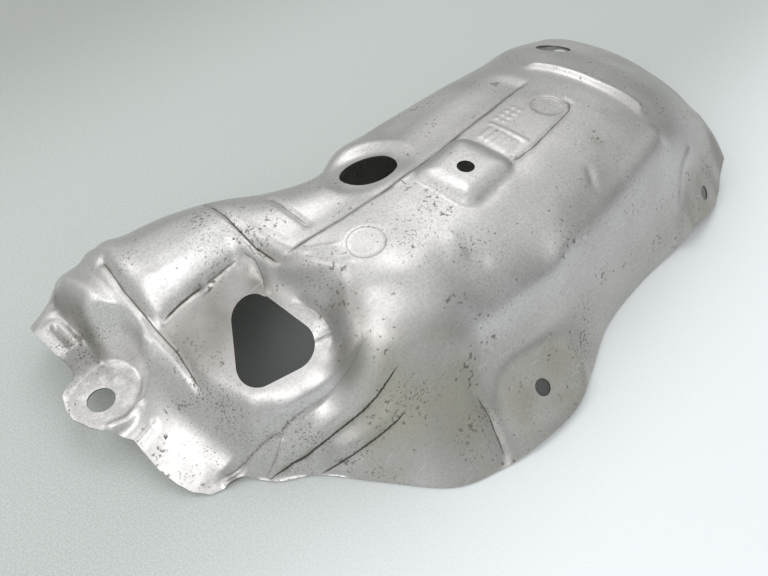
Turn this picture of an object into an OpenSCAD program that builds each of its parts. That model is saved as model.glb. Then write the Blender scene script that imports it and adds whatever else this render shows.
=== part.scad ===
// Exhaust heat shield: one pressed sheet, domed at the left end, with a long
// flat-topped body, four fixing holes and three openings.

/* [Sheet] */
// Length along X, from the tab's round end to the far edge
length = 417; // [320:1:520]
// Width along Y, from the front rim to the back rim
width = 231; // [180:1:300]
// Height of the pressing above its rim
height = 86; // [66:1:110]
// Thickness of the sheet
thickness = 1; // [0.8:0.1:1.5]

/* [Fixing holes] */
// Bolt hole in the raised boss
boss_hole_d = 9; // [6:0.5:11]
// Bolt holes in the two front pads
pad_hole_d = 9; // [6:0.5:10]
// Bolt hole in the tab
tab_hole_d = 13.5; // [8:0.5:16]

/* [Openings] */
// Corner radius of the large three-cornered opening
large_corner_r = 10.5; // [7:0.5:12]
// Round opening in the back slope
slope_hole_d = 31; // [20:1:34]
// Round opening near the far end
far_hole_d = 22; // [14:1:26]

/* [Relief] */
// Rise of the square boss over the flat top
boss_rise = 5; // [2:0.5:8]
// Drop of the long step behind the flat top
step_drop = 1.9; // [0.5:0.1:3]
// Rise of the cross bead
bead_rise = 3.2; // [1:0.1:5]
// Depth of the cleft over the large opening
cleft_depth = 2.5; // [1:0.5:5]
// Depth of the pleats in the front left lobe
pleat_depth = 2.6; // [1:0.1:4]

/* [Hidden] */

sheet_grey = [0.72, 0.71, 0.69];
drawn_size = [417, 231, 86];
scale_xyz = [length / drawn_size[0], width / drawn_size[1], height / drawn_size[2]];
top_z = 81;
finest_line = 5;

// Each section lies at one x. Its ten points, [y, z], run from the back rim
// over the top to the front rim.
SECTIONS = [
    [-120, [[127, 24], [122, 27], [114, 29], [105, 30], [96, 29],
            [86, 26], [66, 18], [42, 12], [22, 5], [7, 0]]],
    [-106, [[135, 18], [130, 29], [118, 34], [105, 35], [92, 33],
            [80, 28], [62, 20], [42, 18], [22, 11], [1, 0]]],
    [-97, [[138, 14], [135, 33], [123, 43], [106, 48], [90, 49],
           [76, 44], [60, 33], [42, 25], [22, 15], [-2, 0]]],
    [-84, [[137, 12], [133, 36], [122, 49], [104, 56], [88, 57],
           [72, 53], [52, 45], [32, 33], [12, 17], [-6, 0]]],
    [-77, [[136, 12], [133, 39], [122, 54], [104, 63], [85, 65],
           [68, 60], [48, 49], [28, 38], [8, 22], [-15, 0]]],
    [-60, [[133, 10], [129, 37], [117, 56], [93, 69], [66, 70],
           [46, 56], [24, 49], [2, 40], [-14, 20], [-27, 0]]],
    [-40, [[124, 9], [121, 42], [109, 61], [84, 74], [56, 75],
           [38, 61], [16, 54], [-8, 46], [-30, 24], [-51, 0]]],
    [-18, [[112, 8], [108, 44], [98, 64], [73, 77], [42, 78],
           [22, 74], [0, 71], [-24, 62], [-48, 32], [-76, 0]]],
    [5, [[96, 6], [92, 43], [83, 65], [63, 76], [37, 79],
         [12, 81], [-16, 78], [-40, 60], [-60, 28], [-86, 0]]],
    [36, [[88, 3], [85, 42], [77, 63], [60, 74], [37, 80],
          [10, 82], [-20, 77], [-44, 56], [-58, 26], [-92, 2]]],
    [58, [[97, 1], [94, 43], [86, 63], [63, 74], [37, 80],
          [10, 82], [-22, 77], [-46, 58], [-60, 26], [-92, 2]]],
    [80, [[98, 0], [95, 43], [87, 62], [64, 73], [37, 80],
          [10, 82], [-22, 77], [-48, 60], [-62, 28], [-85, 2]]],
    [110, [[99, 0], [96, 43], [88, 62], [66, 74], [37, 81],
           [10, 83], [-20, 79], [-42, 64], [-60, 30], [-74, 1]]],
    [150, [[100, 0], [97, 43], [88, 62], [66, 74], [37, 81],
           [10, 83], [-16, 80], [-40, 65], [-58, 30], [-69, 0]]],
    [190, [[102, 2], [99, 42], [89, 60], [66, 72], [37, 79],
           [10, 80], [-14, 76], [-38, 62], [-56, 30], [-69, 2]]],
    [215, [[103, 6], [101, 39], [92, 58], [66, 70], [37, 75],
           [10, 75], [-12, 72], [-36, 58], [-56, 26], [-70, 5]]],
    [245, [[102, 14], [99, 38], [92, 52], [66, 61], [38, 65],
           [8, 64], [-14, 59], [-36, 45], [-54, 23], [-67, 7]]],
    [265, [[100, 20], [97, 37], [89, 48], [65, 54], [38, 57],
           [12, 54], [-9, 49], [-30, 38], [-46, 22], [-57, 11]]],
    [280, [[98, 26], [93, 36], [84, 42], [62, 46], [38, 47],
           [16, 45], [-4, 41], [-22, 34], [-38, 25], [-51, 14]]],
    [288, [[98, 20], [93, 27], [84, 31], [62, 34], [38, 35],
           [16, 33], [-4, 30], [-22, 29], [-38, 19], [-50, 9]]]
];

// Ends of the sheet as [row, x], where row 0 is the back rim and row 9 the front
LEFT_END = [[0, -118], [1, -120], [2, -120], [3, -119], [4, -118], [4.8, -116],
            [5.05, -119], [5.4, -126.5], [5.8, -129], [6.1, -128.5], [6.4, -125],
            [6.75, -118], [7.1, -113.5], [8, -112.5], [8.5, -110], [8.8, -107], [9, -101]];
RIGHT_END = [[0, 278], [1, 284], [2, 288], [6.5, 288], [7.3, 284], [8, 281], [9, 277]];

// Net lines: rows across the sheet, and columns along it between the two ends
ROWS = [0, 0.5, 1, 1.45, 1.85, 2.25, 2.65, 3, 3.35, 3.65, 3.92, 4.1, 4.28, 4.46, 4.64, 4.82,
        5, 5.2, 5.4, 5.6, 5.85, 6.15, 6.45, 6.75, 7.05, 7.35, 7.65, 7.95, 8.25, 8.5, 8.75, 9];
COLUMNS = [-88, -84, -80, -76, -72, -68, -64, -60, -56, -52, -48, -44, -40, -36, -32, -28,
           -24, -19, -14, -8, -2, 4, 10, 16, 22, 28, 34, 40, 46, 52, 57, 61, 66, 71, 77,
           83, 88, 93, 97, 102, 109, 117, 125, 133, 141, 149, 157, 165, 173, 179, 184,
           188, 192, 197, 203, 210, 217, 224, 231, 238, 245, 252, 259, 266];
LEFT_STEPS = 9;
RIGHT_STEPS = 4;

// Plate round the large opening: a point, the axis, the outline and the reach of its
// flat and of its foot. Behind it the dome rises in a rounded wall. Then the opening's
// corner centres.
PLATE_AT = [-45, 20, 52];
PLATE_AXIS = [-0.35, -0.25, 1];
PLATE = [[-68, 3], [-50, -4], [-32, -4], [-22, 8], [-30, 40], [-35, 54], [-74, 57], [-77, 35]];
PLATE_REACH = [-4, 15];
DOME_WALL_REACH = 21;
DOME_WALL_Y = [46, 57];
LARGE_CORNERS = [[-44, 29.5], [-55, 13], [-40, 7.5]];

// Fixing holes and round openings: a point on the axis, and the axis
UP = [0, 0, 1];
BOSS_AT = [76, 10, top_z + boss_rise];
TAB_AT = [-114, 67, 18];
PAD_1_AT = [47, -75.5, 14];
PAD_1_AXIS = [-0.035, -0.62, 1];
PAD_2_AT = [234, -60, 16];
PAD_2_AXIS = [0.32, -1.19, 1];
SLOPE_AT = [50, 53, 73.6];
SLOPE_AXIS = [0, 0.4, 1];
FAR_AT = [223, 62, 69];
FAR_AXIS = [0.25, 0.35, 1];

// Flat places: [point, axis, reach of the flat, reach of its foot, middle line]
FLATS = [
    [[-113, 100, 30], UP, 6, 16, [[-114, 110], [-112, 96]]],
    [TAB_AT, UP, 14, 22, [[-113, 68], [-108, 70]]],
    [PAD_1_AT, PAD_1_AXIS, 13, 22, [[36, -74], [60, -76]]],
    [PAD_2_AT, PAD_2_AXIS, 11, 18, [[218, -66], [238, -62]]],
    [SLOPE_AT, SLOPE_AXIS, 17, 27, [[49, 53], [51, 53]]]
];

// Square boss: middle, turn, half sizes, corner radius, and reach of its top and foot
BOSS_MIDDLE = [77, 11.5];
BOSS_TURN = 6;
BOSS_HALF = [20.5, 18];
BOSS_CORNER_R = 8;
BOSS_REACH = [-12, 1];

// Pressed lines: [rise, half width, route]
LINES = [
    [-1.8, 1.5, [[-23, 92], [-25, 66], [-25, 49], [-22, 36]]],
    [-cleft_depth, 2.6, [[-74, 59], [-66, 59], [-58, 58], [-49, 57], [-41, 56], [-33, 55]]],
    [-2.2, 1.5, [[-78, 104], [-80, 80], [-79, 61], [-78, 44], [-80, 27]]],
    [bead_rise, 3.2, [[185, 51], [188, 40], [190, 27], [192, 12], [195, -5], [197, -16]]],
    [2, 7, [[83, -49], [104, -49], [125, -47], [150, -44], [190, -36]]]
];

// Pleats, where the sheet was gathered: a rounded lip on the left of the route that drops
// into a fold. [share of the depth in the lip, its reach, reach of the fold, route]
PLEATS = [
    [0.6, 6, 4.5, [[-97, 3], [-83, 0], [-74, -5], [-58, -9], [-44, -13], [-30, -18],
                   [-21, -20], [-18, -13]]],
    [1.2, 7, 6, [[-80, -12], [-67, -16], [-53, -24], [-36, -27], [-24, -34], [-15, -34]]],
    [1, 6, 5, [[-58, -28], [-47, -33], [-36, -39], [-24, -43], [-19, -44]]]
];
PLEAT_SOFTNESS = 2.5;
PLEAT_FADE = 12;

// Long step: its route, where it starts and has faded out behind the route, and along it
STEP_ROUTE = [[-16, 33], [11, 30], [42, 29], [52, 30], [82, 32], [106, 34.4], [126, 36],
              [160, 39.6]];
STEP_REACH = [-2.5, 2.5, 8, 28];
STEP_X = [-22, -12, 158, 168];

// 0 below a, 1 above b and a smooth ramp between them
function ramp(a, b, v) = let (u = min(max((v - a) / (b - a), 0), 1)) u * u * (3 - 2 * u);

// Distance from p to the piece of line between a and b
function to_segment(p, a, b) =
    let (d = b - a, u = min(max(((p - a) * d) / (d * d), 0), 1)) norm(p - a - u * d);

// Distance from p to a route
function to_route(p, route) =
    min([for (i = [0 : len(route) - 2]) to_segment(p, route[i], route[i + 1])]);

// Distance from p to a convex outline, below 0 inside
function to_outline(p, outline) =
    let (n = len(outline),
         far = min([for (i = [0 : n - 1]) to_segment(p, outline[i], outline[(i + 1) % n])]),
         inside = min([for (i = [0 : n - 1])
             cross(outline[(i + 1) % n] - outline[i], p - outline[i])]))
    inside >= 0 ? -far : far;

// Distance from p to a turned, rounded rectangle, below 0 inside
function to_rectangle(p, at, turn, half, r) =
    let (d = p - at,
         u = [abs(d[0] * cos(turn) + d[1] * sin(turn)) - half[0] + r,
              abs(d[1] * cos(turn) - d[0] * sin(turn)) - half[1] + r])
    norm([max(u[0], 0), max(u[1], 0)]) + min(max(u[0], u[1]), 0) - r;

// Height over [x, y] of the plane through a point, square to an axis
function on_plane(p, at, axis) =
    at[2] - ((p[0] - at[0]) * axis[0] + (p[1] - at[1]) * axis[1]) / axis[2];

// Slope of the curve at knot i, where f holds the values at the places t
function slope(t, f, i) =
    let (a = max(i - 1, 0), b = min(i + 1, len(t) - 1))
    (a == i || b == i) ? (f[b] - f[a]) / (t[b] - t[a]) :
    ((f[i] - f[a]) / (t[i] - t[a]) * (t[b] - t[i])
     + (f[b] - f[i]) / (t[b] - t[i]) * (t[i] - t[a])) / (t[b] - t[a]);

// Index of the piece between two of the places t that holds q
function piece(t, q) = min(max(len([for (v = t) if (v <= q) v]) - 1, 0), len(t) - 2);

// Smooth curve through the values f at the places t, read at q
function curve(t, f, q) =
    let (i = piece(t, q), h = t[i + 1] - t[i], s = (q - t[i]) / h)
    (1 + 2 * s) * pow(1 - s, 2) * f[i] + s * pow(1 - s, 2) * h * slope(t, f, i)
    + s * s * (3 - 2 * s) * f[i + 1] + s * s * (s - 1) * h * slope(t, f, i + 1);

// The smooth pressing before its relief: one rail per row, read at each column
places = [for (section = SECTIONS) section[0]];
row_numbers = [for (i = [0 : 9]) i];
rails = [for (row = ROWS) [for (section = SECTIONS) curve(row_numbers, section[1], row)]];
left_x = [for (row = ROWS) lookup(row, LEFT_END)];
right_x = [for (row = ROWS) lookup(row, RIGHT_END)];
first_x = COLUMNS[0];
last_x = COLUMNS[len(COLUMNS) - 1];
function row_columns(j) = concat(
    [for (i = [0 : LEFT_STEPS - 1]) left_x[j] + (first_x - left_x[j]) * i / LEFT_STEPS],
    COLUMNS,
    [for (i = [1 : RIGHT_STEPS]) last_x + (right_x[j] - last_x) * i / RIGHT_STEPS]);

// Share of each worked place at p: 1 on its flat, 0 past its foot
function plate_share(p) =
    let (away = to_outline(p, PLATE),
         foot = ramp(PLATE_REACH[0], PLATE_REACH[1], away),
         wall = 1 - pow(1 - min(max(away / DOME_WALL_REACH, 0), 1), 2))
    1 - blend(foot, wall, ramp(DOME_WALL_Y[0], DOME_WALL_Y[1], p[1]));
function flat_share(p, flat) = 1 - ramp(flat[2], flat[3], to_route(p, flat[4]));
function boss_share(p) =
    let (away = to_rectangle(p, BOSS_MIDDLE, BOSS_TURN, BOSS_HALF, BOSS_CORNER_R),
         down = (away - BOSS_REACH[0]) / (BOSS_REACH[1] - BOSS_REACH[0]))
    1 - pow(min(max(down, 0), 1), 2.6);
function blend(from, target, share) = from + (target - from) * share;

// Height of the pressing at p, worked in turn from the smooth height z
function with_plate(p, z) = blend(z, on_plane(p, PLATE_AT, PLATE_AXIS), plate_share(p));
function with_flats(p, z, k = 0) = k == len(FLATS) ? z :
    let (flat = FLATS[k])
    with_flats(p, blend(z, on_plane(p, flat[0], flat[1]), flat_share(p, flat)), k + 1);
function with_step(p, z) =
    let (behind = p[1] - lookup(p[0], STEP_ROUTE))
    z - step_drop
    * ramp(STEP_REACH[0], STEP_REACH[1], behind) * (1 - ramp(STEP_REACH[2], STEP_REACH[3], behind))
    * ramp(STEP_X[0], STEP_X[1], p[0]) * (1 - ramp(STEP_X[2], STEP_X[3], p[0]));
function sum_of(v) = v * [for (term = v) 1];
function with_lines(p, z) = z + sum_of([for (line = LINES)
    line[0] * exp(-pow(to_route(p, line[2]) / max(line[1], finest_line), 2))]);
function beside_segment(p, a, b) =
    let (away = to_segment(p, a, b)) cross(b - a, p - a) < 0 ? -away : away;
function beside(p, route) =
    let (offsets = [for (i = [0 : len(route) - 2]) beside_segment(p, route[i], route[i + 1])],
         nearest = min([for (offset = offsets) abs(offset)]))
    [for (offset = offsets) if (abs(offset) == nearest) offset][0];
function pleat(p, lip, lip_reach, fold_reach, route) =
    let (offset = beside(p, route),
         raised = lip * pleat_depth * exp(-pow(offset / lip_reach, 2)),
         sunk = -0.85 * pleat_depth * exp(-pow(offset / fold_reach, 2)))
    blend(sunk, raised, ramp(-PLEAT_SOFTNESS, PLEAT_SOFTNESS, offset))
    * ramp(0, PLEAT_FADE, norm(p - route[0])) * ramp(0, PLEAT_FADE, norm(p - route[len(route) - 1]));
function with_pleats(p, z) =
    z + sum_of([for (fold = PLEATS) pleat(p, fold[0], fold[1], fold[2], fold[3])]);
function with_boss(p, z) = blend(z, BOSS_AT[2], boss_share(p));
function pressed(p, z) =
    max(0, with_boss(p, with_pleats(p, with_lines(p, with_step(p, with_flats(p, with_plate(p, z)))))));

// Skins: the smooth net, the outer skin with its relief, and the inner skin, which is
// the outer one moved inward along normals that the narrow relief leaves alone
function scaled(p) = [p[0] * scale_xyz[0], p[1] * scale_xyz[1], p[2] * scale_xyz[2]];
function unscaled(axis) = [for (k = [0 : 2]) axis[k] / scale_xyz[k]];
function unit(v) = v / norm(v);
smooth = [for (j = [0 : len(ROWS) - 1]) [for (x = row_columns(j))
    let (yz = curve(places, rails[j], x)) [x, yz[0], yz[1]]]];
outer = [for (row = smooth) [for (p = row)
    scaled([p[0], p[1], pressed([p[0], p[1]], p[2])])]];
rows = len(smooth);
columns = len(smooth[0]);
function smooth_normal(j, i) =
    unit(cross(scaled(smooth[min(j + 1, rows - 1)][i] - smooth[max(j - 1, 0)][i]),
               scaled(smooth[j][min(i + 1, columns - 1)] - smooth[j][max(i - 1, 0)])));
function with_flat_axes(p, n, k = 0) = k == len(FLATS) ? n :
    with_flat_axes(p, blend(n, unit(unscaled(FLATS[k][1])), flat_share(p, FLATS[k])), k + 1);
inner = [for (j = [0 : rows - 1]) [for (i = [0 : columns - 1])
    let (p = [smooth[j][i][0], smooth[j][i][1]],
         n = blend(smooth_normal(j, i), unit(unscaled(PLATE_AXIS)), plate_share(p)))
    outer[j][i] - thickness * unit(blend(with_flat_axes(p, n), UP, boss_share(p)))]];

// Bottom centre of the box round the sheet
all_points = concat([for (row = outer) each row], [for (row = inner) each row]);
low = [for (axis = [0 : 2]) min([for (p = all_points) p[axis]])];
high = [for (axis = [0 : 2]) max([for (p = all_points) p[axis]])];
datum = [(low[0] + high[0]) / 2, (low[1] + high[1]) / 2, low[2]];

// Number of a point of the outer (skin 0) or inner (skin 1) net
function at(skin, j, i) = (skin * rows + j) * columns + i;
function two_triangles(a, b, c, d) = [[a, c, b], [a, d, c]];

module pressing() {
    skins = [for (j = [0 : rows - 2]) for (i = [0 : columns - 2]) each concat(
        two_triangles(at(0, j, i), at(0, j + 1, i), at(0, j + 1, i + 1), at(0, j, i + 1)),
        two_triangles(at(1, j, i), at(1, j, i + 1), at(1, j + 1, i + 1), at(1, j + 1, i)))];
    ends = [for (j = [0 : rows - 2]) each concat(
        two_triangles(at(0, j, 0), at(1, j, 0), at(1, j + 1, 0), at(0, j + 1, 0)),
        two_triangles(at(0, j, columns - 1), at(0, j + 1, columns - 1),
                      at(1, j + 1, columns - 1), at(1, j, columns - 1)))];
    rims = [for (i = [0 : columns - 2]) each concat(
        two_triangles(at(0, 0, i), at(0, 0, i + 1), at(1, 0, i + 1), at(1, 0, i)),
        two_triangles(at(0, rows - 1, i), at(1, rows - 1, i),
                      at(1, rows - 1, i + 1), at(0, rows - 1, i + 1)))];
    polyhedron(points = all_points, faces = concat(skins, ends, rims), convexity = 10);
}

// A straight drill of one diameter along an axis through a point
module drill(place, axis, d, reach) {
    along = unscaled(axis);
    translate(scaled(place))
        rotate([0, acos(along[2] / norm(along)), atan2(along[1], along[0])])
            cylinder(d = d, h = 2 * reach, center = true, $fn = 48);
}

// The large opening's outline: round corners joined by straight sides
module large_opening() {
    corners = [for (c = LARGE_CORNERS) [c[0] * scale_xyz[0], c[1] * scale_xyz[1]]];
    outline = [for (k = [0 : 2])
        let (before = corners[(k + 2) % 3], here = corners[k], after = corners[(k + 1) % 3],
             from = atan2(here[1] - before[1], here[0] - before[0]) - 90,
             to = atan2(after[1] - here[1], after[0] - here[0]) - 90,
             turn = to < from ? to + 360 - from : to - from)
        for (step = [0 : 8])
            here + large_corner_r * [cos(from + turn * step / 8), sin(from + turn * step / 8)]];
    translate([0, 0, 20 * scale_xyz[2]])
        linear_extrude(height = 70 * scale_xyz[2]) polygon(outline);
}

module heat_shield() {
    color(sheet_grey)
        translate(-datum)
            difference() {
                pressing();
                drill(BOSS_AT, UP, boss_hole_d, 12);
                drill(TAB_AT, UP, tab_hole_d, 8);
                drill(PAD_1_AT, PAD_1_AXIS, pad_hole_d, 8);
                drill(PAD_2_AT, PAD_2_AXIS, pad_hole_d, 8);
                drill(SLOPE_AT, SLOPE_AXIS, slope_hole_d, 14);
                drill(FAR_AT, FAR_AXIS, far_hole_d, 12);
                large_opening();
            }
}

heat_shield();
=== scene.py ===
import math

import bpy
import numpy as np
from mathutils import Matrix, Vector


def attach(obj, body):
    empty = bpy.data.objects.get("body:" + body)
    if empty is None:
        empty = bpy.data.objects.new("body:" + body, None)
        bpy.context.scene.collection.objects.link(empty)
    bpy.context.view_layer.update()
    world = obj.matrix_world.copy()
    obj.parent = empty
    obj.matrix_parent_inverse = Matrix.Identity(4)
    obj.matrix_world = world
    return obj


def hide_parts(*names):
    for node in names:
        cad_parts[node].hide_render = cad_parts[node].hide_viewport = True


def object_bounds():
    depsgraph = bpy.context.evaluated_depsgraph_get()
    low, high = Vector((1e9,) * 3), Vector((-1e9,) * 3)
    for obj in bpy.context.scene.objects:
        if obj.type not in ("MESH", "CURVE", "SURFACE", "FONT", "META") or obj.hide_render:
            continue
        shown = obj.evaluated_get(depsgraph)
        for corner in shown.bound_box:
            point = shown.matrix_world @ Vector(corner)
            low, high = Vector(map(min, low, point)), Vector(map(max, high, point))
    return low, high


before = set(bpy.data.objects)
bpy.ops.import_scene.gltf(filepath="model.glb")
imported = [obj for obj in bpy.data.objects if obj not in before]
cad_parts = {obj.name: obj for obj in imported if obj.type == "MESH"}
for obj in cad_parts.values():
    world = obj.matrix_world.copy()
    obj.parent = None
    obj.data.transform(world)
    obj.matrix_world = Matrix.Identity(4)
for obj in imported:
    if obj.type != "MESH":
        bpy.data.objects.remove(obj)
cad_box = [list(corner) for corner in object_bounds()]

# Smooth form of the pressing. The real shield is one steel sheet pressed in a die: a domed
# end on the left and a long, flat-topped body. Each section lies at one x, in millimetres,
# and its ten points (y, z) run from the back rim over the top to the front rim.
MM = 0.001
SHEET_THICKNESS = 1.0
SECTIONS = [
    (-120, [(127, 24), (122, 27), (114, 29), (105, 30), (96, 29),
            (86, 26), (66, 18), (42, 12), (22, 5), (7, 0)]),
    (-106, [(135, 18), (130, 29), (118, 34), (105, 35), (92, 33),
            (80, 28), (62, 20), (42, 18), (22, 11), (1, 0)]),
    (-97, [(138, 14), (135, 33), (123, 43), (106, 48), (90, 49),
           (76, 44), (60, 33), (42, 25), (22, 15), (-2, 0)]),
    (-84, [(137, 12), (133, 36), (122, 49), (104, 56), (88, 57),
           (72, 53), (52, 45), (32, 33), (12, 17), (-6, 0)]),
    (-77, [(136, 12), (133, 39), (122, 54), (104, 63), (85, 65),
           (68, 60), (48, 49), (28, 38), (8, 22), (-15, 0)]),
    (-60, [(133, 10), (129, 37), (117, 56), (93, 69), (66, 70),
           (46, 56), (24, 49), (2, 40), (-14, 20), (-27, 0)]),
    (-40, [(124, 9), (121, 42), (109, 61), (84, 74), (56, 75),
           (38, 61), (16, 54), (-8, 46), (-30, 24), (-51, 0)]),
    (-18, [(112, 8), (108, 44), (98, 64), (73, 77), (42, 78),
           (22, 74), (0, 71), (-24, 62), (-48, 32), (-76, 0)]),
    (5, [(96, 6), (92, 43), (83, 65), (63, 76), (37, 79),
         (12, 81), (-16, 78), (-40, 60), (-60, 28), (-86, 0)]),
    (36, [(88, 3), (85, 42), (77, 63), (60, 74), (37, 80),
          (10, 82), (-20, 77), (-44, 56), (-58, 26), (-92, 2)]),
    (58, [(97, 1), (94, 43), (86, 63), (63, 74), (37, 80),
          (10, 82), (-22, 77), (-46, 58), (-60, 26), (-92, 2)]),
    (80, [(98, 0), (95, 43), (87, 62), (64, 73), (37, 80),
          (10, 82), (-22, 77), (-48, 60), (-62, 28), (-85, 2)]),
    (110, [(99, 0), (96, 43), (88, 62), (66, 74), (37, 81),
           (10, 83), (-20, 79), (-42, 64), (-60, 30), (-74, 1)]),
    (150, [(100, 0), (97, 43), (88, 62), (66, 74), (37, 81),
           (10, 83), (-16, 80), (-40, 65), (-58, 30), (-69, 0)]),
    (190, [(102, 2), (99, 42), (89, 60), (66, 72), (37, 79),
           (10, 80), (-14, 76), (-38, 62), (-56, 30), (-69, 2)]),
    (215, [(103, 6), (101, 39), (92, 58), (66, 70), (37, 75),
           (10, 75), (-12, 72), (-36, 58), (-56, 26), (-70, 5)]),
    (245, [(102, 14), (99, 38), (92, 52), (66, 61), (38, 65),
           (8, 64), (-14, 59), (-36, 45), (-54, 23), (-67, 7)]),
    (265, [(100, 20), (97, 37), (89, 48), (65, 54), (38, 57),
           (12, 54), (-9, 49), (-30, 38), (-46, 22), (-57, 11)]),
    (280, [(98, 26), (93, 36), (84, 42), (62, 46), (38, 47),
           (16, 45), (-4, 41), (-22, 34), (-38, 25), (-51, 14)]),
    (288, [(98, 20), (93, 27), (84, 31), (62, 34), (38, 35),
           (16, 33), (-4, 30), (-22, 29), (-38, 19), (-50, 9)]),
]
# Ends of the sheet as (row, x), where row 0 is the back rim and row 9 the front rim
LEFT_END = [(0, -118), (1, -120), (2, -120), (3, -119), (4, -118), (4.8, -116),
            (5.05, -119), (5.4, -126.5), (5.8, -129), (6.1, -128.5), (6.4, -125),
            (6.75, -118), (7.1, -113.5), (8, -112.5), (8.5, -110), (8.8, -107), (9, -101)]
RIGHT_END = [(0, 278), (1, 284), (2, 288), (6.5, 288), (7.3, 284), (8, 281), (9, 277)]
# Spacing of the net along the sheet, (from x, step), and across it, (from row, rows)
STEPS_ALONG = [(-88, 1.25), (-10, 1.6), (40, 1.2), (144, 2.0), (176, 1.3), (202, 2.0),
               (222, 1.3), (240, 2.0)]
LAST_COLUMN = 262
LEFT_FAN = 32
RIGHT_FAN = 10
STEPS_ACROSS = [(0, 14), (2, 20), (3.6, 120), (9, 0)]


def slopes(places, values):
    gaps = (places[1:] - places[:-1])[:, None]
    rates = (values[1:] - values[:-1]) / gaps
    inner = (rates[:-1] * gaps[1:] + rates[1:] * gaps[:-1]) / (gaps[1:] + gaps[:-1])
    return np.concatenate([rates[:1], inner, rates[-1:]])


def smooth_curve(places, values, at):
    piece = np.clip(np.searchsorted(places, at, side="right") - 1, 0, len(places) - 2)
    gap = places[piece + 1] - places[piece]
    share = (at - places[piece]) / gap
    slope = slopes(places, values)
    back = 1 - share
    return ((1 + 2 * share) * back ** 2)[:, None] * values[piece] \
        + (gap * share * back ** 2)[:, None] * slope[piece] \
        + (share ** 2 * (3 - 2 * share))[:, None] * values[piece + 1] \
        + (gap * share ** 2 * (share - 1))[:, None] * slope[piece + 1]


def net_columns():
    starts = [x for x, step in STEPS_ALONG] + [LAST_COLUMN]
    return np.concatenate([np.linspace(a, b, round((b - a) / step), endpoint=False)
                           for (a, step), b in zip(STEPS_ALONG, starts[1:])] + [[LAST_COLUMN]])


def net_rows():
    return np.concatenate([np.linspace(a, b, n, endpoint=False)
                           for (a, n), (b, rest) in zip(STEPS_ACROSS, STEPS_ACROSS[1:])] + [[9.0]])


def smooth_net():
    places = np.array([x for x, points in SECTIONS], float)
    points = np.array([points for x, points in SECTIONS], float)
    rows = net_rows()
    middle = net_columns()
    left = np.interp(rows, *zip(*LEFT_END))
    right = np.interp(rows, *zip(*RIGHT_END))
    numbers = np.arange(10.0)
    rails = np.stack([smooth_curve(numbers, points[k], rows) for k in range(len(places))])
    net = []
    for j in range(len(rows)):
        fan = np.linspace(left[j], middle[0], LEFT_FAN, endpoint=False)
        end = np.linspace(middle[-1], right[j], RIGHT_FAN + 1)[1:]
        x = np.concatenate([fan, middle, end])
        net.append(np.column_stack([x, smooth_curve(places, rails[:, j], x)]))
    return np.array(net)


# Flats, seats and relief. The die pressed a plate round the large opening, flat seats for
# the bolts, a square boss and a long step, and the sheet gathered into pleats and creases
# where it was drawn in at the front left. Distances are in plan, in millimetres.
UP = (0, 0, 1)
PLATE = [(-68, 3), (-50, -4), (-32, -4), (-22, 8), (-30, 40), (-35, 54), (-74, 57), (-77, 35)]
PLATE_PLANE = ((-45, 20, 52), (-0.35, -0.25, 1))
# How far the plate's foot reaches from its outline, and how the wall under the dome differs
PLATE_REACH = (-4, 15)
DOME_WALL_REACH = 21
DOME_WALL_Y = (46, 57)
LARGE_CORNERS = [(-44, 29.5), (-55, 13), (-40, 7.5)]
LARGE_CORNER_R = 10.5
TAB = ((-114, 67, 18), UP)
FRONT_PAD = ((47, -75.5, 14), (-0.035, -0.62, 1))
FAR_PAD = ((234, -60, 16), (0.32, -1.19, 1))
BACK_SLOPE = ((50, 53, 73.6), (0, 0.4, 1))
FAR_OPENING = ((223, 62, 69), (0.25, 0.35, 1))
BOSS = ((76, 10, 86), UP)
# The boss's side, from the edge of its top out to its foot, and how full it is
BOSS_TOP_EDGE = -12
BOSS_SIDE = 13
BOSS_FULLNESS = 2.6
# Each flat: plane, reach of the flat, reach of its foot, middle line
FLATS = [
    (((-113, 100, 30), UP), 7, 12, [(-114, 110), (-112, 97)]),
    (TAB, 14.5, 25, [(-113, 68), (-108, 70)]),
    (FRONT_PAD, 13, 22, [(36, -74), (60, -76)]),
    (FAR_PAD, 11, 18, [(218, -66), (238, -62)]),
    (BACK_SLOPE, 17, 27, [(49, 53), (51, 53)]),
]
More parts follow.
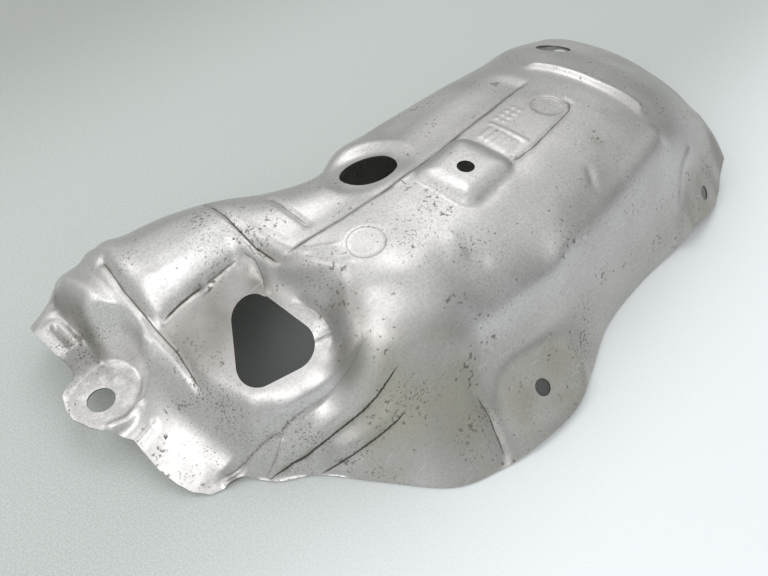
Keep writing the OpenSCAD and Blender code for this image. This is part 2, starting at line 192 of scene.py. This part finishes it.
# Pressed lines: (rise, half width left and right of the route, how dark its line of painted shade
# is, route). The sheet runs gently down to a fold on one side and turns up sharply on the other.
LINES = [
    (-2.0, 2.5, 1.3, 0.85, [(-23, 92), (-25, 66), (-25, 49), (-22, 36)]),
    (-1.2, 1.3, 2.0, 0.5, [(-1, 70), (-1, 55), (0, 41)]),
    (-1.5, 1.6, 2.2, 0.85, [(-74, 59), (-66, 59), (-58, 58), (-51, 57)]),
    (-1.2, 1.6, 2.2, 0.55, [(-51, 57), (-42, 56), (-33, 55)]),
    (-1.4, 1.2, 3.0, 0.4, [(-30, 54), (-28, 47), (-30, 39), (-33, 34)]),
    (-2.2, 3.5, 1.8, 0.7, [(-78, 104), (-80, 80), (-79, 61), (-78, 44), (-80, 27)]),
    (-1.5, 3.0, 3.0, 0.0, [(-74, 126), (-78, 104)]),
    (2.8, 2.2, 2.0, 0.0, [(-92, -3), (-80, -5), (-66, -11)]),
    (1.5, 2.0, 2.0, 0.0, [(225, -44), (212, -48), (203, -57), (203, -66)]),
    (-1.6, 1.4, 2.6, 0.35, [(-63, -10), (-70, -12), (-79, -12)]),
    (-1.5, 1.5, 1.5, 0.3, [(-25, 19), (-23, 13), (-22, 6), (-24, -1), (-27, -6)]),
    (-1.2, 1.2, 1.2, 0.6, [(-32, 3), (-25, -2)]),
    (0.8, 1.8, 1.8, 0.0, [(-22, 36), (-14, 29), (-2, 19)]),
    (1.0, 2.6, 2.6, 0.0, [(-22, 31), (-16, 21), (-4, 7)]),
    (3.0, 3.0, 3.4, 0.0, [(185, 51), (188, 40), (190, 27), (192, 12), (195, -5), (197, -16)]),
    (-2.4, 1.2, 4.0, 0.8, [(13, -60), (14, -68), (12, -76), (10, -84)]),
    (2.4, 5.0, 5.0, 0.0, [(-111, 112), (-110, 95)]),
    (-3.4, 2.0, 2.0, 0.3, [(-111, 111), (-110, 96)]),
    (-2.4, 3.0, 3.0, 0.0, [(-104, 122), (-102, 103), (-102, 88)]),
    (2.6, 5.0, 5.0, 0.0, [(-95, 118), (-91, 100), (-90, 84)]),
    (3.0, 2.5, 2.5, 0.0, [(-118, 50), (-110, 48), (-103, 49)]),
    (1.5, 2.5, 2.5, 0.0, [(-113, 37), (-104, 37)]),
    (0.8, 1.6, 1.6, 0.1, [(-101, 84), (-91, 73), (-85, 58)]),
    (-0.8, 1.0, 1.6, 0.7, [(100, 0), (106, -1), (118, -1), (132, 1), (146, 3), (156, 5),
                           (161, 8), (162, 13)]),
    (3.0, 7.0, 7.0, 0.0, [(83, -49), (104, -49), (125, -47), (150, -44), (190, -36)]),
    (-0.8, 2.5, 2.5, 0.0, [(127, -33), (130, -28)]),
    (-1.3, 3.0, 3.0, 0.0, [(42, -25), (46, -29)]),
    (0.6, 4.0, 4.0, 0.0, [(34, -20), (40, -16)]),
]
# Pleats, where the sheet was gathered into an overlap: a rounded lip that drops into a fold.
# (rise of the lip, its reach, depth of the fold, its reach, softness, how dark its line of painted
# shade is, route)
PLEATS = [
    (1.8, 5.0, 2.6, 3.5, 1.9, 0.2, [(-97, 3), (-83, 0), (-75, -4), (-65, -7.5), (-58, -10),
                                    (-50, -12.5), (-44, -14.5), (-35, -17), (-29, -18.5),
                                    (-25, -19), (-21, -18.5), (-19, -15)]),
    (3.4, 6.0, 1.8, 6.0, 1.3, 0.95, [(-78, -13), (-65, -17), (-59, -20), (-51, -23.5),
                                     (-45, -25.5), (-38, -28), (-32, -30.5), (-26, -32.5),
                                     (-20, -33.5), (-14, -34)]),
    (2.8, 5.0, 1.6, 5.0, 1.3, 0.9, [(-58, -27.5), (-49, -32.5), (-42, -36), (-36, -38.5),
                                    (-29, -41.5), (-24, -43.5), (-19, -44.5)]),
]
# The long step along the top, as (x, y)
STEP_ROUTE = [(-16, 33), (11, 30), (42, 29), (52, 30), (82, 32), (106, 34.4), (126, 36),
              (160, 39.6)]
STEP_DROP = 1.9
STEP_TURN = (-1.2, 1.2)
STEP_FADE = (8, 28)
STEP_START = (-22, -12)
STEP_END = (158, 168)
# Stamped rings, as ((x, y), radius)
RINGS = [((9, 10), 9.0), ((150.5, 15.5), 9.0)]
RING_DEPTH = 0.5
RING_TURN = 0.8
# Stamped panel between the boss and the far ring: plain raised bars and round pips
STAMPED = [[(103, y), (113, y + 1)] for y in (7, 11, 15, 19, 23)]
STAMPED += [[(117, 5), (116, 27)]]
STAMPED += [[(x, y), (x + 0.4, y)] for x in (122, 126.5, 131, 135.5) for y in (23.5, 28)]
STAMPED_RISE = 0.5
STAMPED_REACH = 1.1
# Small dents of use, spread over the sheet
DENT_COUNT = 150
# Rounds of smoothing that even out the direction in which the sheet's thickness is laid
SMOOTHING_ROUNDS = 6


def ramp(low, high, value):
    share = np.clip((value - low) / (high - low), 0, 1)
    return share * share * (3 - 2 * share)


def to_route(x, y, route):
    best = np.full(np.shape(x), 1e9)
    for (ax, ay), (bx, by) in zip(route[:-1], route[1:]):
        dx, dy = bx - ax, by - ay
        share = np.clip(((x - ax) * dx + (y - ay) * dy) / (dx * dx + dy * dy), 0, 1)
        best = np.minimum(best, np.hypot(x - ax - share * dx, y - ay - share * dy))
    return best


def along_route(x, y, route):
    """Offset from the route, above 0 on its left, with the run along it and its length."""
    nearest = np.full(np.shape(x), 1e9)
    offset = np.zeros(np.shape(x))
    run = np.zeros(np.shape(x))
    done = 0.0
    for (ax, ay), (bx, by) in zip(route[:-1], route[1:]):
        length = math.dist((ax, ay), (bx, by))
        share = ((x - ax) * (bx - ax) + (y - ay) * (by - ay)) / length ** 2
        inside = np.clip(share, 0, 1)
        away = np.hypot(x - ax - inside * (bx - ax), y - ay - inside * (by - ay))
        side = np.sign((bx - ax) * (y - ay) - (by - ay) * (x - ax))
        closer = away < nearest
        nearest = np.where(closer, away, nearest)
        offset = np.where(closer, away * side, offset)
        run = np.where(closer, done + share * length, run)
        done += length
    return offset, run, done


def to_outline(x, y, outline):
    inside = np.ones(np.shape(x), bool)
    for (ax, ay), (bx, by) in zip(outline, outline[1:] + outline[:1]):
        inside &= (bx - ax) * (y - ay) - (by - ay) * (x - ax) >= 0
    away = to_route(x, y, outline + outline[:1])
    return np.where(inside, -away, away)


def to_boss(x, y, middle=(77, 11.5), turn=math.radians(6), half=(20.5, 18), corner=8):
    u = (x - middle[0]) * math.cos(turn) + (y - middle[1]) * math.sin(turn)
    v = (y - middle[1]) * math.cos(turn) - (x - middle[0]) * math.sin(turn)
    u, v = np.abs(u) - half[0] + corner, np.abs(v) - half[1] + corner
    return np.hypot(np.maximum(u, 0), np.maximum(v, 0)) + np.minimum(np.maximum(u, v), 0) - corner


def on_plane(x, y, plane):
    (px, py, pz), (ax, ay, az) = plane
    return pz - ((x - px) * ax + (y - py) * ay) / az


def pressed(x, y, z):
    away = to_outline(x, y, PLATE)
    foot = ramp(*PLATE_REACH, away)
    dome_wall = 1 - (1 - np.clip(away / DOME_WALL_REACH, 0, 1)) ** 2
    share = foot + (dome_wall - foot) * ramp(*DOME_WALL_Y, y)
    z = z + (on_plane(x, y, PLATE_PLANE) - z) * (1 - share)
    for plane, flat, foot, middle in FLATS:
        z = z + (on_plane(x, y, plane) - z) * (1 - ramp(flat, foot, to_route(x, y, middle)))
    behind = y - np.interp(x, *zip(*STEP_ROUTE))
    z = z - STEP_DROP * ramp(*STEP_TURN, behind) * (1 - ramp(*STEP_FADE, behind)) \
        * ramp(*STEP_START, x) * (1 - ramp(*STEP_END, x))
    for rise, left, right, dark, route in LINES:
        offset, run, length = along_route(x, y, route)
        z = z + rise * np.exp(-(offset / np.where(offset > 0, left, right)) ** 2)
    for lip, lip_reach, fold, fold_reach, softness, dark, route in PLEATS:
        offset, run, length = along_route(x, y, route)
        raised = lip * np.exp(-(offset / lip_reach) ** 2)
        sunk = -fold * np.exp(-(offset / fold_reach) ** 2)
        start = np.hypot(x - route[0][0], y - route[0][1])
        end = np.hypot(x - route[-1][0], y - route[-1][1])
        z = z + (sunk + (raised - sunk) * ramp(-softness, softness, offset)) \
            * ramp(0, 12, start) * ramp(0, 12, end)
    for route in STAMPED:
        z = z + STAMPED_RISE * np.exp(-(to_route(x, y, route) / STAMPED_REACH) ** 2)
    chance = np.random.default_rng(3)
    for _ in range(DENT_COUNT):
        dent_x, dent_y, reach = chance.uniform((-120, -80, 4), (280, 130, 13))
        depth = chance.uniform(-0.05, 0.04) * reach
        z = z + depth * np.exp(-((x - dent_x) ** 2 + (y - dent_y) ** 2) / reach ** 2)
    boss_side = np.clip((to_boss(x, y) - BOSS_TOP_EDGE) / BOSS_SIDE, 0, 1)
    z = z + (BOSS[0][2] - z) * (1 - boss_side ** BOSS_FULLNESS)
    for (cx, cy), radius in RINGS:
        to_middle = np.hypot(x - cx, y - cy)
        z = z - RING_DEPTH * (1 - ramp(radius - RING_TURN, radius + RING_TURN, to_middle))
    return np.maximum(z, 0)


def unit(v):
    return v / np.maximum(np.linalg.norm(v, axis=-1, keepdims=True), 1e-9)


def normals_of(net):
    return unit(np.cross(np.gradient(net, axis=0), np.gradient(net, axis=1)))


net = smooth_net()
x, y = net[..., 0], net[..., 1]
outer = np.dstack([x, y, pressed(x, y, net[..., 2])])
smoothed = outer
for _ in range(SMOOTHING_ROUNDS):
    padded = np.pad(smoothed, ((1, 1), (1, 1), (0, 0)), mode="edge")
    smoothed = (padded[:-2, 1:-1] + padded[2:, 1:-1] + padded[1:-1, :-2] + padded[1:-1, 2:]
                + 4 * smoothed) / 8
inward = -SHEET_THICKNESS * normals_of(smoothed)

# Bolt holes and openings. All are punched through the sheet after pressing: four round
# bolt holes, two round access openings and one large three-cornered opening.
DRILLS = [(BOSS, 4.5), (TAB, 6.75), (FRONT_PAD, 4.5), (FAR_PAD, 4.5),
          (BACK_SLOPE, 15.5), (FAR_OPENING, 11.0)]


def punch(points, faces_kept, distance, direction):
    """Drops the squares inside an opening and moves its edge points onto its outline."""
    corners = (distance[:-1, :-1] + distance[1:, :-1] + distance[:-1, 1:] + distance[1:, 1:]) / 4
    gone = corners < 0
    touched = np.zeros(distance.shape, bool)
    kept = np.zeros(distance.shape, bool)
    for dj in (0, 1):
        for di in (0, 1):
            part = (slice(dj, distance.shape[0] - 1 + dj), slice(di, distance.shape[1] - 1 + di))
            touched[part] |= gone
            kept[part] |= ~gone
    edge = touched & kept
    normal = normals_of(points)[edge]
    out = direction[edge]
    along = out - (out * normal).sum(-1, keepdims=True) * normal
    move = -distance[edge][:, None] / (out * along).sum(-1, keepdims=True)
    points[edge] += along * move
    faces_kept &= ~gone


faces_kept = np.ones((net.shape[0] - 1, net.shape[1] - 1), bool)
for (place, axis), radius in DRILLS:
    axis = unit(np.array(axis, float))
    offset = outer - np.array(place, float)
    radial = offset - (offset @ axis)[..., None] * axis
    near = np.linalg.norm(offset, axis=-1) < 4 * radius
    distance = np.where(near, np.linalg.norm(radial, axis=-1) - radius, 99)
    punch(outer, faces_kept, distance, unit(radial))
distance = to_outline(outer[..., 0], outer[..., 1], LARGE_CORNERS) - LARGE_CORNER_R
probe = 0.05
ahead_x = to_outline(outer[..., 0] + probe, outer[..., 1], LARGE_CORNERS) - LARGE_CORNER_R
ahead_y = to_outline(outer[..., 0], outer[..., 1] + probe, LARGE_CORNERS) - LARGE_CORNER_R
direction = unit(np.dstack([ahead_x - distance, ahead_y - distance, 0 * distance]))
punch(outer, faces_kept, distance, direction)

# The sheet as a mesh: both skins, and the thin cut edge round the rims and every opening
row_count, column_count = outer.shape[:2]
inner_skin = outer + inward
skins = np.concatenate([outer.reshape(-1, 3), inner_skin.reshape(-1, 3)])
numbers = np.arange(row_count * column_count).reshape(row_count, column_count)
below = row_count * column_count
square = np.stack([numbers[:-1, :-1], numbers[1:, :-1], numbers[1:, 1:], numbers[:-1, 1:]], -1)
top_faces = square[faces_kept]
under_faces = top_faces[:, ::-1] + below
edges = np.concatenate([top_faces[:, [k, (k + 1) % 4]] for k in range(4)])
keys = edges.min(1) * below + edges.max(1)
_, first, count = np.unique(keys, return_index=True, return_counts=True)
open_edges = edges[first[count == 1]]
wall_faces = np.column_stack([open_edges[:, ::-1], open_edges + below])
faces = np.concatenate([top_faces, under_faces, wall_faces])
used, faces = np.unique(faces, return_inverse=True)
faces = faces.reshape(-1, 4)
points = skins[used]
datum = outer.reshape(-1, 3).max(0) - np.array(cad_box[1]) / MM
place = np.clip((points - datum) * MM, cad_box[0], cad_box[1])
mesh = bpy.data.meshes.new("shield_sheet")
mesh.from_pydata(place.tolist(), [], faces.tolist())
mesh.polygons.foreach_set("use_smooth", np.ones(len(faces), bool))
mesh.update()
mesh.set_sharp_from_angle(angle=math.radians(50))
shield = bpy.data.objects.new("shield_sheet", mesh)
bpy.context.scene.collection.objects.link(shield)

# Marks on the sheet. Where a fold has closed, along the step and round the rings, a thin dark line
# of painted shade is drawn, with a brown rust stain beside it. Dirt sits on the bolt seats, the
# lower front wall is darker towards the bottom, a pale bloom lies on the tab, and painted shade
# darkens the plate, the hollows and the bands beside the pleats; paler colour on some lit faces is
# painted highlight. The offset from the nearest dark line is kept on the mesh, so the line is
# drawn fine.
px, py, pz = points[:, 0], points[:, 1], points[:, 2]
# Painted shade in the folds and hollows and beside the pleats, and olive dirt, as (how strong,
# full to, gone at, route)
PAINTED_SHADE_PATCHES = [
    (0.8, 1, 9, [(-74, 55), (-76, 42), (-70, 34)]),
    (0.9, 1, 6, [(-103, 123), (-100, 100), (-101, 86)]),
    (0.45, 4, 26, [(-20, -44), (4, -58)]),
    (0.4, 1, 6, [(-52, -27), (-36, -34), (-22, -39)]),
    (0.45, 1, 9, [(-8, -27), (6, -38), (20, -48)]),
]
GRIME = [
    (1.0, 10, 26, [(36, -73), (60, -75)]),
    (1.0, 9, 20, [(218, -66), (238, -62)]),
    (1.3, 4, 28, [(-24, -42), (2, -56)]),
]
# Painted highlights: faces lit from the front and the left are coloured paler
PAINTED_HIGHLIGHT_PATCHES = [
    (1.0, 2, 12, [(-60, 67), (-50, 65), (-38, 63)]),
    (1.0, 1, 8, [(-56, 9), (-42, 3), (-30, 4)]),
    (1.0, 2, 11, [(-92, 87), (-89, 80), (-88, 72)]),
]
# Small round stains, as ((x, y), reach)
STAINS = [((172, -8), 7), ((148, -20), 5), ((196, -30), 6), ((14, -44), 6)]
# Lines of painted shade along the folds and the step, as (how dark, shift to the right of the
# route, width, route)
PAINTED_SHADE_LINES = [(dark, 0.0, 1.0, route) for rise, left, right, dark, route in LINES]
PAINTED_SHADE_LINES += [(pleat[5], 0.8, 0.7, pleat[6]) for pleat in PLEATS]
PAINTED_SHADE_LINES += [(0.6, 0.9, 0.8, PLEATS[0][6][:6]), (1.0, 0.2, 1.7, STEP_ROUTE)]


def patches(marks):
    return np.max([strength * (1 - ramp(full, gone, to_route(px, py, route)))
                   for strength, full, gone, route in marks], axis=0)


# Painted shade: a thin dark line along each fold and the step, and a fainter one round each ring
offset = np.full(len(points), 99.0)
line_shade = np.zeros(len(points))
for dark, shift, width, route in PAINTED_SHADE_LINES:
    if dark > 0:
        aside, run, length = along_route(px, py, route)
        aside = (aside + shift) / width
        closer = np.abs(aside) < np.abs(offset)
        offset = np.where(closer, aside, offset)
        taper = ramp(-1, 4, run) * ramp(-1, 4, length - run)
        line_shade = np.where(closer, dark * taper * (1 - ramp(1.6, 2.8, np.abs(aside))), line_shade)
for (cx, cy), radius in RINGS:
    aside = np.hypot(px - cx, py - cy) - radius
    closer = np.abs(aside) < np.minimum(np.abs(offset), 3)
    offset = np.where(closer, aside, offset)
    line_shade = np.where(closer, 0.25 * (1 - ramp(1.6, 2.8, np.abs(aside))), line_shade)
# Painted shade: the plate is coloured darker, more so towards the back, and so is the valley
# between the plate and the top
painted_shade = (1 - ramp(-3, 7, to_outline(px, py, PLATE))) * (0.1 + 0.9 * ramp(12, 40, py))
valley = [(-28, 37), (-19, 21), (-16, -3), (-20, -13), (-27, -17)]
valley_painted_shade = (1.0 - ramp(3, 13, to_route(px, py, valley))) * (1 - 0.55 * ramp(-4, 10, py))
painted_shade = np.maximum(painted_shade, valley_painted_shade)
painted_shade = np.maximum(painted_shade, patches(PAINTED_SHADE_PATCHES))
grime_and_darkening = patches(GRIME)
# The lower front wall is made darker towards the bottom and the front
grime_and_darkening = np.maximum(grime_and_darkening, 0.5 * (1 - ramp(5, 55, pz)) * ramp(-60, 0, px) * (1 - ramp(0, 40, py)))
for (stain_x, stain_y), reach in STAINS:
    grime_and_darkening = np.maximum(grime_and_darkening, 1 - ramp(0, reach, np.hypot(px - stain_x, py - stain_y)))
bloom = 1 - ramp(13, 24, to_route(px, py, [(-113, 68), (-104, 66)]))
# Painted highlight: the faces listed above are coloured paler
painted_highlight = patches(PAINTED_HIGHLIGHT_PATCHES)
worn = 0.35 + 0.65 * (1 - ramp(-60, 120, px)) + 0.3 * (1 - ramp(25, 60, pz))
for name, values in (("offset", offset), ("line_shade", line_shade), ("painted_shade", painted_shade),
                     ("grime_and_darkening", grime_and_darkening), ("bloom", bloom), ("painted_highlight", painted_highlight), ("worn", worn)):
    layer = mesh.attributes.new(name, "FLOAT", "POINT")
    layer.data.foreach_set("value", values.astype(np.float32))

cut = np.zeros(len(faces))
cut[-len(wall_faces):] = 1
layer = mesh.attributes.new("cut", "FLOAT", "FACE")
layer.data.foreach_set("value", cut.astype(np.float32))

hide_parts("heat_shield")
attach(shield, "root")

# Aluminised steel: satin silver grey with a cloudy tone, sprinkled with small dark pits and
# crossed by fine scratches. Dirt is olive, closed folds are dark brown with a thin line of painted
# shade, painted shade darkens the hollows, and some lit faces are coloured paler as painted
# highlight.
sheet_material = bpy.data.materials.new("aluminised_sheet")
sheet_material.use_nodes = True
nodes = sheet_material.node_tree.nodes
links = sheet_material.node_tree.links
shader = nodes["Principled BSDF"]
shader.inputs["Metallic"].default_value = 0.88
coordinates = nodes.new("ShaderNodeTexCoord")


def noise(scale, detail=3.0, vector=None):
    node = nodes.new("ShaderNodeTexNoise")
    node.inputs["Scale"].default_value = scale
    node.inputs["Detail"].default_value = detail
    links.new(vector or coordinates.outputs["Object"], node.inputs["Vector"])
    return node.outputs["Fac"]


def remap(value, low, high, to_low=0.0, to_high=1.0):
    node = nodes.new("ShaderNodeMapRange")
    node.interpolation_type = "SMOOTHSTEP"
    for k, number in enumerate((low, high, to_low, to_high)):
        node.inputs[k + 1].default_value = number
    links.new(value, node.inputs["Value"])
    return node.outputs["Result"]


def combine(a, b, operation="MULTIPLY"):
    node = nodes.new("ShaderNodeMath")
    node.operation = operation
    for k, value in enumerate((a, b)):
        if isinstance(value, (int, float)):
            node.inputs[k].default_value = value
        else:
            links.new(value, node.inputs[k])
    return node.outputs["Value"]


def mix_colour(share, a, b):
    node = nodes.new("ShaderNodeMix")
    node.data_type = "RGBA"
    links.new(share, node.inputs["Factor"])
    for socket, colour in ((node.inputs["A"], a), (node.inputs["B"], b)):
        if isinstance(colour, tuple):
            socket.default_value = colour + (1,)
        else:
            links.new(colour, socket)
    return node.outputs["Result"]


def kept_share(name):
    node = nodes.new("ShaderNodeAttribute")
    node.attribute_name = name
    return node.outputs["Fac"]


def stretched(x, y, z):
    node = nodes.new("ShaderNodeMapping")
    node.inputs["Scale"].default_value = (x, y, z)
    links.new(coordinates.outputs["Object"], node.inputs["Vector"])
    return node.outputs["Vector"]


def pits(scale, size, amount, vector):
    cells = nodes.new("ShaderNodeTexVoronoi")
    cells.inputs["Scale"].default_value = scale
    links.new(vector, cells.inputs["Vector"])
    split = nodes.new("ShaderNodeSeparateColor")
    links.new(cells.outputs["Color"], split.inputs["Color"])
    chosen = combine(split.outputs["Red"], amount, "LESS_THAN")
    wide = combine(combine(split.outputs["Green"], 0.7), 0.5, "ADD")
    spot = remap(combine(cells.outputs["Distance"], wide, "DIVIDE"), size, size * 0.6)
    return combine(spot, chosen)


wobble = nodes.new("ShaderNodeTexNoise")
wobble.inputs["Scale"].default_value = 700
links.new(coordinates.outputs["Object"], wobble.inputs["Vector"])
wobbled = nodes.new("ShaderNodeVectorMath")
wobbled.operation = "MULTIPLY_ADD"
wobbled.inputs[1].default_value = (0.0016, 0.0016, 0.0016)
links.new(wobble.outputs["Color"], wobbled.inputs[0])
links.new(coordinates.outputs["Object"], wobbled.inputs[2])
ragged = wobbled.outputs["Vector"]

colour = mix_colour(remap(noise(22, 4.0), 0.35, 0.65), (0.56, 0.55, 0.535), (0.64, 0.63, 0.62))
colour = mix_colour(combine(remap(noise(8, 4.0), 0.42, 0.62), 0.4), colour, (0.50, 0.485, 0.46))
# Painted shade: the plate, the hollows and the bands beside the pleats are mixed towards dark grey
colour = mix_colour(combine(kept_share("painted_shade"), remap(noise(40, 4.0), 0.3, 0.7, 0.6, 1.0)),
                    colour, (0.25, 0.24, 0.22))
# Olive dirt, with the lower front wall darker towards the bottom
grime_and_darkening_share = combine(kept_share("grime_and_darkening"), remap(noise(45, 5.0), 0.3, 0.65, 0.3, 0.9))
colour = mix_colour(grime_and_darkening_share, colour, (0.42, 0.41, 0.35))
bloom_share = combine(kept_share("bloom"), remap(noise(150, 4.0), 0.45, 0.6, 0.0, 0.7))
colour = mix_colour(bloom_share, colour, (0.82, 0.81, 0.80))
# Painted highlight: the lit faces listed above are mixed towards pale grey
colour = mix_colour(combine(kept_share("painted_highlight"), 0.75), colour, (0.84, 0.83, 0.82))
cluster = combine(combine(noise(34, 5.0), 0.5, "SUBTRACT"), 0.55)
fine_specks = combine(noise(950, 3.0), combine(cluster, kept_share("worn")), "ADD")
fine_specks = remap(fine_specks, 0.64, 0.74)
large_pits = pits(150, 0.14, 0.06, ragged)
rust = combine(noise(420, 6.0), combine(combine(noise(48, 4.0), 0.5, "SUBTRACT"), 0.7), "ADD")
rust = combine(rust, combine(kept_share("grime_and_darkening"), 0.04), "ADD")
rust = remap(rust, 0.67, 0.77)
pit_share = combine(combine(fine_specks, 0.7), combine(large_pits, 0.75), "MAXIMUM")
pit_share = combine(pit_share, combine(rust, 0.75), "MAXIMUM")
colour = mix_colour(pit_share, colour, (0.16, 0.145, 0.12))
grain = remap(noise(800, 3.0), 0.35, 0.65, 0.0, 0.26)
colour = mix_colour(grain, colour, (0.30, 0.29, 0.27))
scratches = remap(noise(60, 3.0, stretched(1.0, 12.0, 1.0)), 0.66, 0.72)
colour = mix_colour(combine(scratches, 0.25), colour, (0.80, 0.79, 0.78))
waver = combine(combine(noise(120, 2.0), 0.5, "SUBTRACT"), 0.6)
line_distance = combine(kept_share("offset"), waver, "ADD")
absolute = nodes.new("ShaderNodeMath")
absolute.operation = "ABSOLUTE"
links.new(line_distance, absolute.inputs[0])
# A thin near-black line of painted shade along each fold, the step and the rings, with a brown
# rust stain beside it
painted_line_shade = combine(remap(absolute.outputs["Value"], 0.55, 0.1), kept_share("line_shade"))
stain = combine(remap(absolute.outputs["Value"], 1.8, 0.4), kept_share("line_shade"))
stain = combine(stain, remap(noise(130, 4.0), 0.42, 0.62))
colour = mix_colour(combine(stain, 0.55), colour, (0.27, 0.24, 0.19))
colour = mix_colour(combine(painted_line_shade, 0.92), colour, (0.06, 0.05, 0.04))
colour = mix_colour(combine(kept_share("cut"), 0.85), colour, (0.13, 0.115, 0.09))
links.new(colour, shader.inputs["Base Color"])
gloss = combine(remap(noise(18, 4.0), 0.35, 0.65, 0.34, 0.44), combine(grime_and_darkening_share, 0.15), "ADD")
gloss = combine(gloss, combine(combine(pit_share, 0.3), combine(painted_line_shade, 0.4), "ADD"), "ADD")
links.new(gloss, shader.inputs["Roughness"])
bump = nodes.new("ShaderNodeBump")
bump.inputs["Strength"].default_value = 0.4
bump.inputs["Distance"].default_value = 0.001
height = combine(combine(noise(38, 4.0), 0.9), combine(noise(300, 2.0), 0.06), "ADD")
height = combine(height, combine(pit_share, 0.15), "SUBTRACT")
height = combine(height, combine(painted_line_shade, 0.5), "SUBTRACT")
links.new(height, bump.inputs["Height"])
links.new(bump.outputs["Normal"], shader.inputs["Normal"])
mesh.materials.append(sheet_material)

# The floor: a plain pale board with a fine speckle; its colour is darkened behind and to the left
# as painted shade
floor_mesh = bpy.data.meshes.new("floor")
floor_mesh.from_pydata([(-4, -4, 0), (4, -4, 0), (4, 4, 0), (-4, 4, 0)], [], [(0, 1, 2, 3)])
floor = bpy.data.objects.new("floor", floor_mesh)
bpy.context.scene.collection.objects.link(floor)
floor_material = bpy.data.materials.new("pale_board")
floor_material.use_nodes = True
nodes = floor_material.node_tree.nodes
links = floor_material.node_tree.links
board = nodes["Principled BSDF"]
board.inputs["Roughness"].default_value = 0.9
board.inputs["Specular IOR Level"].default_value = 0.1
coordinates = nodes.new("ShaderNodeTexCoord")
spread = nodes.new("ShaderNodeSeparateXYZ")
links.new(coordinates.outputs["Object"], spread.inputs["Vector"])
# Painted shade: the board's colour darkens behind and to the left
across = combine(combine(spread.outputs["X"], 0.09), combine(spread.outputs["Y"], -1.2), "ADD")
board_colour_with_painted_shade = mix_colour(remap(across, -0.58, -0.26), (0.31, 0.33, 0.305), (0.445, 0.475, 0.45))
board_colour_with_painted_shade = mix_colour(remap(across, -0.02, 0.2), board_colour_with_painted_shade, (0.79, 0.82, 0.84))
speckle = remap(noise(1100, 4.0), 0.35, 0.65, 0.0, 0.18)
board_colour_with_painted_shade = mix_colour(speckle, board_colour_with_painted_shade, (0.95, 0.97, 0.98))
links.new(board_colour_with_painted_shade, board.inputs["Base Color"])
floor_mesh.materials.append(floor_material)

# Soft studio light: a sky that is bright overhead and grey at the horizon, and three wide,
# soft lamps, one over the camera's shoulder, one high beyond the shield and one at the left
world = bpy.data.worlds.new("studio")
world.use_nodes = True
nodes = world.node_tree.nodes
links = world.node_tree.links
coordinates = nodes.new("ShaderNodeTexCoord")
spread = nodes.new("ShaderNodeSeparateXYZ")
links.new(coordinates.outputs["Generated"], spread.inputs["Vector"])
lean = combine(combine(spread.outputs["X"], -0.15), combine(spread.outputs["Y"], 0.15), "ADD")
toward_light = combine(combine(spread.outputs["Z"], 0.9), lean, "ADD")
sky = mix_colour(remap(toward_light, -0.1, 0.7), (0.30, 0.31, 0.31), (0.98, 0.99, 1.0))
links.new(sky, nodes["Background"].inputs["Color"])
nodes["Background"].inputs["Strength"].default_value = 0.95
bpy.context.scene.world = world


def area_lamp(name, place, size, power):
    data = bpy.data.lights.new(name, "AREA")
    data.shape = "DISK"
    data.size = size
    data.energy = power
    lamp = bpy.data.objects.new(name, data)
    bpy.context.scene.collection.objects.link(lamp)
    lamp.location = place
    lamp.rotation_euler = lamp.location.to_track_quat("Z", "Y").to_euler()


area_lamp("shoulder_lamp", (-0.95, -0.5, 1.0), 0.9, 4.6)
area_lamp("far_lamp", (0.45, 0.5, 1.3), 0.9, 3.1)
area_lamp("left_lamp", (-0.8, 0.75, 0.9), 0.8, 2.0)

# The camera stands at the photograph's viewing place, 50 degrees down on the shield
FOCAL_PIXELS = 650
FRAME_PIXELS = 768
camera_data = bpy.data.cameras.new("camera")
camera_data.sensor_width = 36
camera_data.lens = FOCAL_PIXELS / FRAME_PIXELS * camera_data.sensor_width
camera_data.clip_start = 0.01
camera = bpy.data.objects.new("camera", camera_data)
bpy.context.scene.collection.objects.link(camera)
CAMERA_PLACE = (-127.09, -142.57, 292.0)
camera.location = [(v - d) * MM for v, d in zip(CAMERA_PLACE, datum)]
camera.rotation_euler = (math.radians(40), 0, math.radians(-44))
bpy.context.scene.camera = camera

bpy.context.scene.view_settings.view_transform = "Standard"
